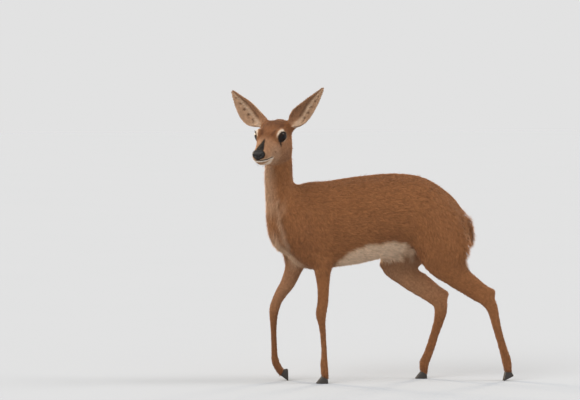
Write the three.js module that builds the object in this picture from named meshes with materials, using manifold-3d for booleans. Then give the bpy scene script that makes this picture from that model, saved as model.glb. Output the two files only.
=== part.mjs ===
// A steenbok ewe, life size and standing alert with its head turned to its left, in millimetres, +Z up.
// It walks towards -X, its left side is -Y, and its hooves stand on the floor at Z 0.
// The coat's outer surface is one smooth field, made of swept forms that blend into each other. Each sub-part is
// that field inside its own stretch of the body, parted from the next by a thin flat cut.
import * as THREE from "three";
import { mergeVertices } from "three/addons/utils/BufferGeometryUtils.js";
import Module from "manifold-3d";

const wasm = await Module();
wasm.setup();

// Driving dimensions
const GAP = 0.3; // between one node and the next
const HEAD_YAW = -121.5; // degrees from +X, seen from above: the face's direction
const FACE_PITCH = 34; // degrees that the line from poll to nose points below level
const POLL = [-260, -4, 656]; // top of the head, between the ears
const EYE_RADIUS = 16;
const LID = 1.4; // thickness of the eyelids over the eyeball
const EAR_WALL = 2.2;
const CLAW = { length: 31, front: 19, heel: 10, width: 10.5, split: 2 }; // one half of a cloven hoof
const SOLE_FLAT = 1.2; // how much the floor takes off a hoof that stands on its toe

const rad = THREE.MathUtils.degToRad;
const mix = (a, b, t) => a + (b - a) * t;

// Fields: negative inside, in millimetres near the surface

// Joins two fields with a fillet about `soft` mm wide.
function blend(a, b, soft) {
  const h = Math.max(soft - Math.abs(a - b), 0) / soft;
  return Math.min(a, b) - (h * h * soft) / 4;
}

// A form swept through stations [x, y, z, deep, wide]: half sizes in the plane of the bend and across it.
// `egg` makes each section wider on its upper (+) or lower (-) side.
function sweep(stations, { side = [0, 1, 0], egg = 0, perSpan = 4 } = {}) {
  const centres = new THREE.CatmullRomCurve3(stations.map(([x, y, z]) => new THREE.Vector3(x, y, z)));
  const sizes = new THREE.CatmullRomCurve3(stations.map((s) => new THREE.Vector3(s[3], s[4], 0)));
  const count = (stations.length - 1) * perSpan;
  const segments = [];
  for (let i = 0; i < count; i++) {
    const [t0, t1] = [i / count, (i + 1) / count];
    const [a, b, ra, rb] = [centres.getPoint(t0), centres.getPoint(t1), sizes.getPoint(t0), sizes.getPoint(t1)];
    const along = b.clone().sub(a);
    const length = along.length();
    along.normalize();
    const across = new THREE.Vector3(...side).addScaledVector(along, -along.dot(new THREE.Vector3(...side)));
    across.normalize();
    const up = along.clone().cross(across);
    segments.push({ a, along, across, up, length, ra, rb, reach: Math.max(ra.x, ra.y, rb.x, rb.y) });
  }
  return (x, y, z) => {
    let best = Infinity;
    for (const s of segments) {
      const [px, py, pz] = [x - s.a.x, y - s.a.y, z - s.a.z];
      const run = px * s.along.x + py * s.along.y + pz * s.along.z;
      const t = Math.min(Math.max(run / s.length, 0), 1);
      const off = run - t * s.length;
      const wide = px * s.across.x + py * s.across.y + pz * s.across.z;
      const deep = px * s.up.x + py * s.up.y + pz * s.up.z;
      if (Math.sqrt(off * off + wide * wide + deep * deep) - 2 * s.reach > best) continue;
      const rd = mix(s.ra.x, s.rb.x, t);
      const rw = mix(s.ra.y, s.rb.y, t) * (1 + (egg * Math.max(-1, Math.min(1, deep / rd))));
      const rc = Math.min(rd, rw);
      const [qw, qd, qo] = [wide / rw, deep / rd, off / rc];
      const rho = Math.sqrt(qw * qw + qd * qd + qo * qo);
      const slope = Math.sqrt((qw / rw) ** 2 + (qd / rd) ** 2 + (qo / rc) ** 2);
      const d = slope < 1e-9 ? -rc : ((rho - 1) * rho) / slope;
      if (d < best) best = d;
    }
    return best;
  };
}

// A form along X from rows [x, top, bottom, half width], as a side view gives it.
function profile(rows, options) {
  return sweep(
    rows.map(([x, top, bottom, wide]) => [x, 0, (top + bottom) / 2, (top - bottom) / 2, wide]),
    options,
  );
}

// An ellipsoid with half sizes [rx, ry, rz].
function ball([cx, cy, cz], [rx, ry, rz]) {
  return (x, y, z) => {
    const [qx, qy, qz] = [(x - cx) / rx, (y - cy) / ry, (z - cz) / rz];
    const rho = Math.sqrt(qx * qx + qy * qy + qz * qz);
    const slope = Math.sqrt((qx / rx) ** 2 + (qy / ry) ** 2 + (qz / rz) ** 2);
    return slope < 1e-9 ? -Math.min(rx, ry, rz) : ((rho - 1) * rho) / slope;
  };
}

// A surface net: one point in each cell that the surface crosses, moved onto the surface, and a quad round each
// edge that it crosses. The outermost layer counts as outside, so the net is always closed.
function surfaceNet(field, low, high, step) {
  const n = low.map((v, k) => Math.ceil((high[k] - v) / step[k]) + 1);
  const at = (i, j, k) => (i * n[1] + j) * n[2] + k;
  const values = new Float32Array(n[0] * n[1] * n[2]).fill(1);
  for (let i = 1; i < n[0] - 1; i++)
    for (let j = 1; j < n[1] - 1; j++)
      for (let k = 1; k < n[2] - 1; k++)
        values[at(i, j, k)] = field(low[0] + i * step[0], low[1] + j * step[1], low[2] + k * step[2]);
  untangle(values, n, at);
  const points = [];
  const pointOf = new Map();
  const corners = [0, 1, 2, 3, 4, 5, 6, 7].map((c) => [c >> 2, (c >> 1) & 1, c & 1]);
  const reach = Math.max(...step);
  for (let i = 0; i < n[0] - 1; i++)
    for (let j = 0; j < n[1] - 1; j++)
      for (let k = 0; k < n[2] - 1; k++) {
        const v = corners.map(([a, b, c]) => values[at(i + a, j + b, k + c)]);
        if (v.every((w) => w < 0) || v.every((w) => w >= 0)) continue;
        const sum = [0, 0, 0];
        let hits = 0;
        for (let c = 0; c < 8; c++)
          for (const bit of [4, 2, 1]) {
            if (c & bit || v[c] < 0 === v[c | bit] < 0) continue;
            const t = v[c] / (v[c] - v[c | bit]);
            corners[c].forEach((w, m) => (sum[m] += w + (4 >> m === bit ? t : 0)));
            hits++;
          }
        const p = [i, j, k].map((w, m) => low[m] + (w + sum[m] / hits) * step[m]);
        pointOf.set(at(i, j, k), points.length / 3);
        points.push(...settle(field, p, reach));
      }
  const faces = [];
  for (let i = 0; i < n[0] - 1; i++)
    for (let j = 0; j < n[1] - 1; j++)
      for (let k = 0; k < n[2] - 1; k++)
        for (let m = 0; m < 3; m++) {
          const next = [i, j, k];
          next[m]++;
          const inside = values[at(i, j, k)] < 0;
          if (inside === values[at(...next)] < 0) continue;
          const [u, w] = [(m + 1) % 3, (m + 2) % 3];
          const ring = [[0, 0], [1, 0], [1, 1], [0, 1]].map(([du, dw]) => {
            const cell = [i, j, k];
            cell[u] -= du;
            cell[w] -= dw;
            return pointOf.get(at(...cell));
          });
          if (!inside) ring.reverse();
          faces.push(...halves(points, ring));
        }
  return geometryOf(points, faces);
}

// Where the surface would pass twice through one square of the grid, takes the nearer corner inside instead.
function untangle(values, n, at) {
  let changed = true;
  while (changed) {
    changed = false;
    for (let i = 1; i < n[0] - 1; i++)
      for (let j = 1; j < n[1] - 1; j++)
        for (let k = 1; k < n[2] - 1; k++)
          for (const [u, w] of [[0, 1], [1, 2], [2, 0]]) {
            const corner = (du, dw) => {
              const c = [i, j, k];
              c[u] += du;
              c[w] += dw;
              return at(...c);
            };
            const ring = [corner(0, 0), corner(1, 0), corner(1, 1), corner(0, 1)];
            const inside = ring.map((c) => values[c] < 0);
            if (inside[0] !== inside[2] || inside[1] !== inside[3] || inside[0] === inside[1]) continue;
            const outer = ring.filter((c, m) => !inside[m]);
            values[values[outer[0]] < values[outer[1]] ? outer[0] : outer[1]] = -0.01;
            changed = true;
          }
  }
}

// Moves a point onto the field's surface by a few short steps down its slope.
function settle(field, p, reach) {
  const eps = 0.05;
  let q = [...p];
  for (let turn = 0; turn < 3; turn++) {
    const f = field(...q);
    const slope = [0, 1, 2].map((m) => {
      const r = [...q];
      r[m] += eps;
      return (field(...r) - f) / eps;
    });
    const size = slope.reduce((s, g) => s + g * g, 0);
    if (size < 0.04 || Math.abs(f) > reach) return p;
    q = q.map((w, m) => w - (slope[m] * f) / size);
  }
  return Math.hypot(q[0] - p[0], q[1] - p[1], q[2] - p[2]) < reach * 0.6 ? q : p;
}

// A quad as two triangles, cut along its shorter diagonal.
function halves(points, [a, b, c, d]) {
  const apart = (i, j) =>
    Math.hypot(...[0, 1, 2].map((m) => points[3 * i + m] - points[3 * j + m]));
  return apart(a, c) < apart(b, d) ? [a, b, c, a, c, d] : [a, b, d, b, c, d];
}

function geometryOf(points, faces) {
  const geometry = new THREE.BufferGeometry();
  geometry.setAttribute("position", new THREE.BufferAttribute(new Float32Array(points), 3));
  geometry.setIndex(new THREE.BufferAttribute(new Uint32Array(faces), 1));
  return geometry;
}

// A closed skin over a grid of points, rows from one end to the other, each row a closed ring.
function loft(rings) {
  const points = rings.flat().flat();
  const [rows, cols] = [rings.length, rings[0].length];
  const faces = [];
  for (let i = 0; i < rows - 1; i++)
    for (let j = 0; j < cols; j++) {
      const [a, b] = [i * cols + j, i * cols + ((j + 1) % cols)];
      faces.push(...halves(points, [a, b, b + cols, a + cols]));
    }
  for (const [row, turn] of [[0, -1], [rows - 1, 1]]) {
    const middle = [0, 1, 2].map((m) => rings[row].reduce((s, p) => s + p[m] / cols, 0));
    const centre = points.length / 3;
    points.push(...middle);
    for (let j = 0; j < cols; j++) {
      const [a, b] = [row * cols + j, row * cols + ((j + 1) % cols)];
      faces.push(...(turn > 0 ? [a, b, centre] : [b, a, centre]));
    }
  }
  return geometryOf(points, faces);
}

// Between three.js geometry and closed solids that can be joined and cut
function solidOf(geometry) {
  const bare = new THREE.BufferGeometry();
  bare.setAttribute("position", geometry.getAttribute("position"));
  bare.setIndex(geometry.index);
  const merged = mergeVertices(bare, 1e-4);
  const solid = new wasm.Manifold(
    new wasm.Mesh({
      numProp: 3,
      vertProperties: new Float32Array(merged.attributes.position.array),
      triVerts: new Uint32Array(merged.index.array),
    }),
  );
  if (solid.volume() >= 0) return solid;
  const turned = merged.index.array;
  for (let i = 0; i < turned.length; i += 3) [turned[i], turned[i + 1]] = [turned[i + 1], turned[i]];
  return solidOf(merged);
}

function largest(solid) {
  return solid.decompose().reduce((a, b) => (a.volume() > b.volume() ? a : b));
}

function geometryFrom(solid) {
  const made = solid.getMesh();
  const points = [];
  for (let i = 0; i < made.vertProperties.length; i += made.numProp)
    points.push(...made.vertProperties.slice(i, i + 3));
  return geometryOf(points, made.triVerts);
}

function meshOf(name, solid, material) {
  const geometry = geometryFrom(largest(solid));
  geometry.computeVertexNormals();
  const mesh = new THREE.Mesh(geometry, material);
  mesh.name = name;
  return mesh;
}

// Trunk: [x, top of the back, belly line, half width]
const TRUNK = [
  [-245, 414, 314, 28],
  [-214, 480, 290, 46],
  [-176, 502, 283, 56],
  [-125, 505, 288, 63],
  [-72, 513, 295, 68],
  [-18, 520, 307, 71],
  [36, 523.5, 323, 69],
  [84, 518, 335, 63],
  [124, 496, 340, 55],
  [156, 471, 343, 46],
  [183, 442, 350, 37],
];
// Neck: [x, y, z, half depth, half width], from inside the chest up to the skull
const NECK = [
  [-208, 0, 385, 66, 40],
  [-240, 0, 440, 46, 36],
  [-254, 0, 497, 35.5, 29],
  [-255.5, -1, 545, 34, 27],
  [-256, -3, 585, 32, 26.5],
  [-255, -4, 622, 25, 24],
];
// Legs: [x, distance out from the middle, z, half depth, half width], from the shoulder or hip to the fetlock.
// A hind leg also has the tendon that runs down behind the shank to the point of the hock. A foot's toe touches the
// floor at x, and `tilt` is how many degrees its heel is raised.
const LEGS = {
  fore_left: {
    side: -1,
    stations: [
      [-205, 26, 440, 30, 17],
      [-224, 35, 385, 34, 20],
      [-184, 41, 338, 36, 20],
      [-155, 42, 305, 26, 17.5],
      [-151, 42, 283, 21.5, 15.5],
      [-149.5, 42, 248, 16.3, 12.5],
      [-149.5, 42, 222, 14.5, 11.5],
      [-151, 42, 197, 14, 12.5],
      [-155, 42, 176, 14, 12.3],
      [-153, 42, 151, 10, 9.5],
      [-150, 42, 125, 8, 8.3],
      [-148, 42, 95, 7.6, 8.2],
      [-147, 42, 70, 8, 8.6],
      [-147, 42, 47, 10, 10.3],
    ],
    foot: { toe: -168, tilt: 0 },
  },
  fore_right: {
    side: 1,
    stations: [
      [-205, 26, 440, 30, 17],
      [-227, 35, 385, 34, 20],
      [-208, 40, 336, 36, 20],
      [-209, 40, 300, 28, 17],
      [-214, 40, 278, 22, 15.5],
      [-228, 39, 245, 18.5, 13],
      [-243, 38, 223, 15.8, 12],
      [-254, 38, 204, 13.5, 11.7],
      [-261, 38, 184, 12.8, 12],
      [-263.5, 38, 165, 11, 11],
      [-264, 37, 146, 9, 9.3],
      [-263.5, 37, 121, 7.8, 8.3],
      [-262.5, 37, 92, 7.6, 8.2],
      [-261.5, 37, 68, 8.3, 8.7],
      [-259, 37, 48, 10, 10.3],
    ],
    foot: { toe: -227, tilt: 92 },
  },
  hind_left: {
    side: -1,
    stations: [
      [128, 24, 425, 44, 24],
      [143, 34, 385, 62, 30],
      [153, 38, 340, 69, 29],
      [165, 38, 302, 54, 24],
      [188, 38, 270, 35, 19],
      [214, 39, 247, 28, 15],
      [240, 39, 227, 24.5, 13],
      [266, 40, 207, 20, 13.5],
      [281, 40, 182, 14.5, 12],
      [288, 40, 154, 12.3, 10],
      [297, 41, 119, 11, 9],
      [308, 41, 82, 11, 9.5],
      [318, 41, 48, 12.5, 11.5],
    ],
    tendon: [[226, 39, 257, 9, 8], [262, 40, 232, 8, 7.5], [281, 40, 225, 8.5, 8]],
    foot: { toe: 308, tilt: 27 },
  },
  hind_right: {
    side: 1,
    stations: [
      [128, 24, 425, 44, 24],
      [124, 34, 385, 58, 29],
      [84, 37, 345, 62, 28],
      [50, 38, 300, 45, 23],
      [78, 38, 262, 31, 19],
      [108, 38, 240, 29, 15.5],
      [137, 39, 218, 25, 13.5],
      [160, 39, 197, 20.5, 13.5],
      [164, 39, 174, 17, 12.5],
      [160, 39, 151, 14.5, 10.5],
      [153, 40, 126, 12.5, 9.3],
      [145, 40, 101, 12, 9],
      [137, 40, 76, 12, 9.3],
      [129, 40, 55, 12.3, 10.5],
      [122, 40, 40, 12.8, 11.5],
    ],
    tendon: [[118, 38, 253, 9, 8], [156, 39, 226, 8.5, 7.5], [177, 39, 215, 9, 8]],
    foot: { toe: 98, tilt: 0 },
  },
};
// Tail: [x, y, z, half depth, half width], hanging close behind the rump
const TAIL = [
  [178, 0, 436, 8, 13],
  [207, 0, 417, 10, 14],
  [225, 0, 388, 8.5, 12.5],
  [231, 0, 358, 7, 9.5],
  [231, 0, 344, 5.5, 7],
];

// Feet. A foot's frame has its toes' tips at the origin, its heel towards +X and its sole at Z 0.
const CORONET = { front: [CLAW.length / 2, CLAW.front], back: [CLAW.length - 1, CLAW.heel] };
const coronetMiddle = [0, 1].map((k) => (CORONET.front[k] + CORONET.back[k]) / 2);

// The group that holds one foot, with its toes' tips on the floor.
function footGroup({ side, stations, foot }) {
  const group = new THREE.Group();
  group.position.set(foot.toe, side * stations.at(-1)[1], foot.tilt ? -SOLE_FLAT : 0);
  group.rotation.y = -rad(foot.tilt);
  group.updateMatrixWorld();
  return group;
}

const fromFoot = (leg, [x, z]) => new THREE.Vector3(x, 0, z).applyMatrix4(footGroup(leg).matrixWorld).toArray();

// One leg as a field, ending inside its hoof.
function legField(leg) {
  const place = ([x, out, z, deep, wide]) => [x, leg.side * out, z, deep, wide];
  const half = CLAW.width + CLAW.split / 2;
  const [middleX, middleZ] = coronetMiddle;
  const main = sweep([
    ...leg.stations.map(place),
    [...fromFoot(leg, [middleX, middleZ]), 9.2, half],
    [...fromFoot(leg, [middleX - 2, middleZ - 10]), 8.5, half - 1],
  ]);
  if (!leg.tendon) return main;
  const tendon = sweep(leg.tendon.map(place));
  return (x, y, z) => blend(main(x, y, z), tendon(x, y, z), 12);
}

const trunkForm = profile(TRUNK, { egg: -0.1 });
const neckForm = sweep(NECK);
const tailForm = sweep(TAIL);
const legFields = Object.fromEntries(Object.entries(LEGS).map(([name, leg]) => [name, legField(leg)]));
const coreField = (x, y, z) => blend(trunkForm(x, y, z), neckForm(x, y, z), 20);
const oneLegField = (name) => (x, y, z) => blend(coreField(x, y, z), legFields[name](x, y, z), 20);

// The whole trunk with its neck and the roots of its legs.
function bodyField(x, y, z) {
  let d = coreField(x, y, z);
  for (const leg of Object.values(legFields)) d = blend(d, leg(x, y, z), 20);
  return d;
}

// Head. The upright head frame has its origin at the poll, X the way the face points, Y its left, Z up. The face
// frame is that one pitched down, so its X runs along the face to the nose.
const pitch = rad(FACE_PITCH);
const [pitchCos, pitchSin] = [Math.cos(pitch), Math.sin(pitch)];
const toFace = (x, y, z) => [x * pitchCos - z * pitchSin, y, x * pitchSin + z * pitchCos];
const headMatrix = new THREE.Matrix4().makeRotationZ(rad(HEAD_YAW)).setPosition(...POLL);
const headMatrixBack = headMatrix.clone().invert();
const moved = (matrix, p) => new THREE.Vector3(...p).applyMatrix4(matrix).toArray();
const turned = (matrix, v) => new THREE.Vector3(...v).transformDirection(matrix).toArray();

// Skull and muzzle in the face frame: [x, top, bottom, half width]
const SKULL = [
  [-2, -2, -52, 26],
  [18, 6, -68, 32],
  [40, 10, -78, 35],
  [62, 11, -78, 34],
  [84, 8.5, -67, 30.5],
  [104, 6.5, -54, 25],
  [120, 6, -43.5, 21],
  [131, 5, -36, 18.5],
];
// Forms that swell from it on both sides, [centre, half sizes, how softly], in the face frame
const SWELLINGS = [
  [[57, 25.5, -6], [20, 14.5, 17], 9],
  [[46, 21, -48], [28, 12, 26], 14],
  [[126, 9.5, -17.5], [14, 12.5, 11], 8],
  [[137, 7.5, -3.5], [9, 10, 9], 6],
  [[26, 18, -12], [26, 17, 18], 12],
  [[130, 0, -28.5], [11, 9, 7], 7],
];
const EYE = {
  centre: [55.5, 25.4, -6.4],
  outward: [0.5, 0.84, 0.12],
  length: 12.8,
  upper: 10.2,
  lower: 9.2,
  tilt: 12,
};
const EAR_BASE = { centre: [-5, 36, -10], outward: [-0.02, 0.735, 0.678], radius: 13.5 };
// How far each ear leans up from the line its base points along, its length, how much it bows outwards, and how
// wide its upper half is
const EARS = {
  left: { side: 1, raised: 4.5, length: 124, bow: 0.9, width: 0.86 },
  right: { side: -1, raised: 0, length: 121, bow: 2, width: 1.06 },
};
// Mouth, in the face frame: a middle point behind the lips, and the line's level at the front and at its corners
const MOUTH = { middle: [113, 0], front: -13.5, corner: -30.5, width: 1.1 };
const NOSE = { centre: [143, 0, -1], size: [12, 15.5, 10.5] };
const NOSTRIL = [[146.5, 3.6, -6, 1], [144.5, 8, -3, 2.3], [140.5, 11.5, -0.5, 1.9], [136, 12.6, -2, 0.9]];

const skullForm = profile(SKULL, { egg: 0.12 });
const swellings = SWELLINGS.map(([centre, size, soft]) => [ball(centre, size), soft]);
const earStub = sweep([
  [-2, 8, -34, 15, 15],
  [...EAR_BASE.centre, EAR_BASE.radius + 0.5, EAR_BASE.radius + 0.5],
  [-5, 46, -1, EAR_BASE.radius, EAR_BASE.radius],
]);

// The head alone, in the upright head frame.
function skullField(x, y, z) {
  const [fx, fy, fz] = toFace(x, Math.abs(y), z);
  let d = skullForm(fx, fy, fz);
  for (const [form, soft] of swellings) d = blend(d, form(fx, fy, fz), soft);
  return blend(d, earStub(x, Math.abs(y), z), 10);
}

const headField = (x, y, z) => blend(skullField(x, y, z), neckForm(...moved(headMatrix, [x, y, z])), 16);
const neckField = (x, y, z) => blend(bodyField(x, y, z), skullField(...moved(headMatrixBack, [x, y, z])), 16);

// Cuts between the nodes, each a plane through a point
const NECK_BASE = { point: [-205, 0, 492], towards: [-0.83, 0, 0.55] };
const THROAT = { point: [0, 0, -97], towards: [0.48, 0, 0.875] };
const ELBOWS = { point: [0, 0, 282], towards: [0, 0, -1] };
const STIFLES = { point: [110, 0, 309], towards: [0.1, 0, -1] };

// The part of a solid ahead of a cut (side 1) or behind it (side -1), half a gap clear of it.
function trim(solid, { point, towards }, side) {
  const normal = new THREE.Vector3(...towards).normalize();
  const offset = normal.dot(new THREE.Vector3(...point));
  return solid.trimByPlane(normal.multiplyScalar(side).toArray(), side * offset + GAP / 2);
}

function block(low, high) {
  const size = low.map((v, k) => high[k] - v);
  const geometry = new THREE.BoxGeometry(...size);
  geometry.translate(...low.map((v, k) => v + size[k] / 2));
  return solidOf(geometry);
}

function ellipsoid(centre, size, detail = 20) {
  const geometry = new THREE.SphereGeometry(1, detail, Math.round(detail * 0.7));
  geometry.scale(...size);
  geometry.translate(...centre);
  return solidOf(geometry);
}

// Turns geometry from its own frame, where +Z is `towards`, to a place in its parent's.
function aimed(geometry, centre, towards, roll = 0) {
  const turn = new THREE.Matrix4().makeRotationFromQuaternion(
    new THREE.Quaternion().setFromUnitVectors(new THREE.Vector3(0, 0, 1), new THREE.Vector3(...towards).normalize()),
  );
  return geometry.applyMatrix4(new THREE.Matrix4().makeRotationZ(roll)).applyMatrix4(turn).translate(...centre);
}

// Looks
const look = (colour, roughness) => new THREE.MeshStandardMaterial({ color: colour, roughness, metalness: 0 });
const COAT = look(0xb07848, 0.9);
const HORN = look(0x1c1815, 0.4);
const SKIN = look(0x201a18, 0.5);
const EYEBALL = look(0x120c08, 0.1);

// Trunk, neck, tail
function torso() {
  const whole = solidOf(surfaceNet(bodyField, [-300, -100, 262], [260, 100, 540], [14, 10.5, 12]));
  const legsAway = block([-330, -150, 200], [-20, 150, ELBOWS.point[2] + GAP / 2]).add(
    trim(block([-20, -150, 200], [330, 150, 400]), STIFLES, 1).translate([0, 0, GAP]),
  );
  return trim(whole, NECK_BASE, -1).subtract(legsAway).simplify(0.65);
}

function neck() {
  const whole = solidOf(surfaceNet(neckField, [-330, -80, 370], [-170, 80, 660], [9, 8.5, 11]));
  const cut = { point: moved(headMatrix, THROAT.point), towards: turned(headMatrix, THROAT.towards) };
  return trim(trim(whole, NECK_BASE, 1), cut, -1).simplify(0.3);
}

function tail() {
  const field = (x, y, z) => Math.max(tailForm(x, y, z), 2 * GAP - bodyField(x, y, z));
  return solidOf(surfaceNet(field, [170, -30, 330], [260, 30, 450], [5, 6, 8])).simplify(0.2);
}

// Legs and hooves
function leg(name) {
  const { side, stations, foot } = LEGS[name];
  const fore = name.startsWith("fore");
  const xs = stations.slice(3).map((s) => s[0]);
  const low = [Math.min(...xs) - 66, side < 0 ? -80 : -4, -12];
  const high = [Math.max(...xs) + 50, side < 0 ? 4 : 80, fore ? 300 : 345];
  const whole = solidOf(surfaceNet(oneLegField(name), low, high, fore ? [6.5, 6, 12] : [8, 7.5, 12]));
  const [front, back] = [CORONET.front, CORONET.back].map((p) => new THREE.Vector3(...fromFoot(LEGS[name], p)));
  const up = new THREE.Vector3(0, 1, 0).cross(front.clone().sub(back));
  const coronet = { point: front.toArray(), towards: up.toArray() };
  return trim(trim(whole, fore ? ELBOWS : STIFLES, 1), coronet, 1).simplify(0.5);
}

// One claw, in its foot's frame: a pointed, flat-soled hoof whose top slopes down to the heel.
function claw(outer) {
  const around = 16;
  const rings = [];
  for (let i = 0; i <= 2; i++) {
    const up = i / 2;
    const ring = [];
    for (let j = 0; j < around; j++) {
      const turn = (2 * Math.PI * j) / around;
      const along = (1 - Math.cos(turn)) / 2;
      const wide = Math.sign(Math.sin(turn)) * Math.abs(Math.sin(turn)) ** 0.75 * (0.6 + 0.4 * along);
      const sole = [CLAW.length * along, 0];
      const top = [0, 1].map((k) => mix(CORONET.front[k], CORONET.back[k], along));
      const [x, z] = [0, 1].map((k) => mix(sole[k], top[k], up));
      const bulge = 1 - 0.1 * up;
      const middle = outer * (CLAW.split / 2 + CLAW.width / 2 - (1 - along) * 0.6);
      ring.push([x, middle + (wide * bulge * CLAW.width) / 2, z - (i === 2 ? GAP / 2 : 0)]);
    }
    rings.push(ring);
  }
  return solidOf(loft(rings));
}

export const root = new THREE.Group();
const figure = new THREE.Group();
root.add(figure);
figure.add(meshOf("torso", torso(), COAT), meshOf("neck", neck(), COAT), meshOf("tail", tail(), COAT));

for (const [name, one] of Object.entries(LEGS)) {
  figure.add(meshOf("leg_" + name, leg(name), COAT));
  const group = footGroup(one);
  for (const [place, outer] of [["outer", one.side], ["inner", -one.side]]) {
    const level = solidOf(
      geometryFrom(claw(outer)).applyMatrix4(group.matrixWorld),
    ).trimByPlane([0, 0, 1], 0);
    figure.add(meshOf("hoof_" + name + "_" + place, level, HORN));
  }
}

// Head, in the upright head frame

// A point or direction of the face frame in the upright head frame.
const fromFace = ([x, y, z]) => [x * pitchCos + z * pitchSin, y, z * pitchCos - x * pitchSin];
const mirrored = ([x, y, z], side) => [x, side * y, z];
const ballAt = (centre, r, detail) => ellipsoid(centre, [r, r, r], detail);

// A matrix that stands +Z of an eye's own frame along its outward direction, its +X towards the nose and +Y up.
function eyeMatrix(side) {
  const out = new THREE.Vector3(...fromFace(mirrored(EYE.outward, side))).normalize();
  const nose = new THREE.Vector3(...fromFace([Math.cos(rad(EYE.tilt)), 0, -Math.sin(rad(EYE.tilt))]));
  const x = nose.addScaledVector(out, -nose.dot(out)).normalize();
  const y = x.clone().cross(out).multiplyScalar(side);
  return new THREE.Matrix4().makeBasis(x, y, out).setPosition(...fromFace(mirrored(EYE.centre, side)));
}

// The almond outline of the open lids, `steps` points to each half.
function almond(steps) {
  return Array.from({ length: 2 * steps }, (_, i) => {
    const x = Math.cos((Math.PI * i) / steps);
    const height = i < steps ? EYE.upper : -EYE.lower;
    return [EYE.length * x, height * (1 - Math.abs(x) ** 2.4) ** 0.85];
  });
}

// A closed solid between copies of an outline at heights z0 and z1, moved by a matrix.
function prism(outline, z0, z1, matrix) {
  return solidOf(loft([z0, z1].map((z) => outline.map(([x, y]) => moved(matrix, [x, y, z])))));
}

// A round rope through points [x, y, z, radius], closed at its ends.
function rope(points, sides = 6, perSpan = 3) {
  const path = new THREE.CatmullRomCurve3(points.map(([x, y, z]) => new THREE.Vector3(x, y, z)));
  const radii = new THREE.CatmullRomCurve3(points.map((p) => new THREE.Vector3(p[3], 0, 0)));
  const count = (points.length - 1) * perSpan;
  const frames = path.computeFrenetFrames(count);
  const rings = [];
  for (let i = 0; i <= count; i++) {
    const [centre, r] = [path.getPoint(i / count), radii.getPoint(i / count).x];
    const ring = [];
    for (let j = 0; j < sides; j++) {
      const turn = (2 * Math.PI * j) / sides;
      const p = centre.clone().addScaledVector(frames.normals[i], r * Math.cos(turn));
      ring.push(p.addScaledVector(frames.binormals[i], r * Math.sin(turn)).toArray());
    }
    rings.push(ring);
  }
  return solidOf(loft(rings));
}

// The lids' thickened edge round one eye.
function lidRim(side) {
  const matrix = eyeMatrix(side);
  const shell = EYE_RADIUS + GAP + LID * 0.75;
  const points = almond(8).map(([x, y]) => {
    const out = Math.sqrt(Math.max(shell ** 2 - x * x - y * y, 0));
    return new THREE.Vector3(...moved(matrix, [x, y, out]));
  });
  return solidOf(new THREE.TubeGeometry(new THREE.CatmullRomCurve3(points, true), 20, LID * 0.9, 5, true));
}

// How far the head's surface lies from a point of the face frame, along a direction of it.
function reachOf(from, towards) {
  let [near, far] = [1, 70];
  while (far - near > 0.05) {
    const half = (near + far) / 2;
    const p = fromFace(from.map((v, k) => v + towards[k] * half));
    if (skullField(...p) < 0) near = half;
    else far = half;
  }
  return near;
}

// The line between the lips, from one corner of the mouth round the front to the other.
function mouth() {
  const points = [];
  for (let i = -6; i <= 6; i++) {
    const turn = (Math.PI / 2) * (i / 6);
    const z = mix(MOUTH.front, MOUTH.corner, Math.abs(i / 6) ** 1.4);
    const towards = [Math.cos(turn), Math.sin(turn), 0];
    const from = [...MOUTH.middle, z];
    const reach = reachOf(from, towards);
    points.push([...fromFace(from.map((v, k) => v + towards[k] * reach)), MOUTH.width]);
  }
  return rope(points, 5, 2);
}

function head() {
  const net = surfaceNet(headField, [-60, -56, -130], [150, 56, 34], [4.8, 4.7, 4.7]);
  let solid = trim(solidOf(net), THROAT, 1).simplify(0.3);
  for (const side of [1, -1]) {
    const eye = fromFace(mirrored(EYE.centre, side));
    solid = solid.add(ballAt(eye, EYE_RADIUS + GAP + LID, 18));
    solid = solid.subtract(prism(almond(10), 4, 26, eyeMatrix(side))).add(lidRim(side));
    solid = solid.subtract(ballAt(eye, EYE_RADIUS + 1.5 * GAP, 18));
    const beyond = new THREE.CylinderGeometry(24, 24, 30, 20).rotateX(Math.PI / 2).translate(0, 0, 15 - GAP / 2);
    const at = mirrored(EAR_BASE.centre, side);
    solid = solid.subtract(solidOf(aimed(beyond, at, mirrored(EAR_BASE.outward, side))));
    solid = solid.subtract(rope(NOSTRIL.map(([x, y, z, r]) => [...fromFace(mirrored([x, y, z], side)), r])));
  }
  return solid.subtract(mouth()).simplify(0.17);
}

// The bare pad of the nose, parted from the head by an egg-shaped cut.
function noseCut(grow) {
  const geometry = new THREE.SphereGeometry(1, 14, 10);
  geometry.scale(...NOSE.size.map((v) => v + grow)).rotateY(pitch).translate(...fromFace(NOSE.centre));
  return solidOf(geometry);
}

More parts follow.
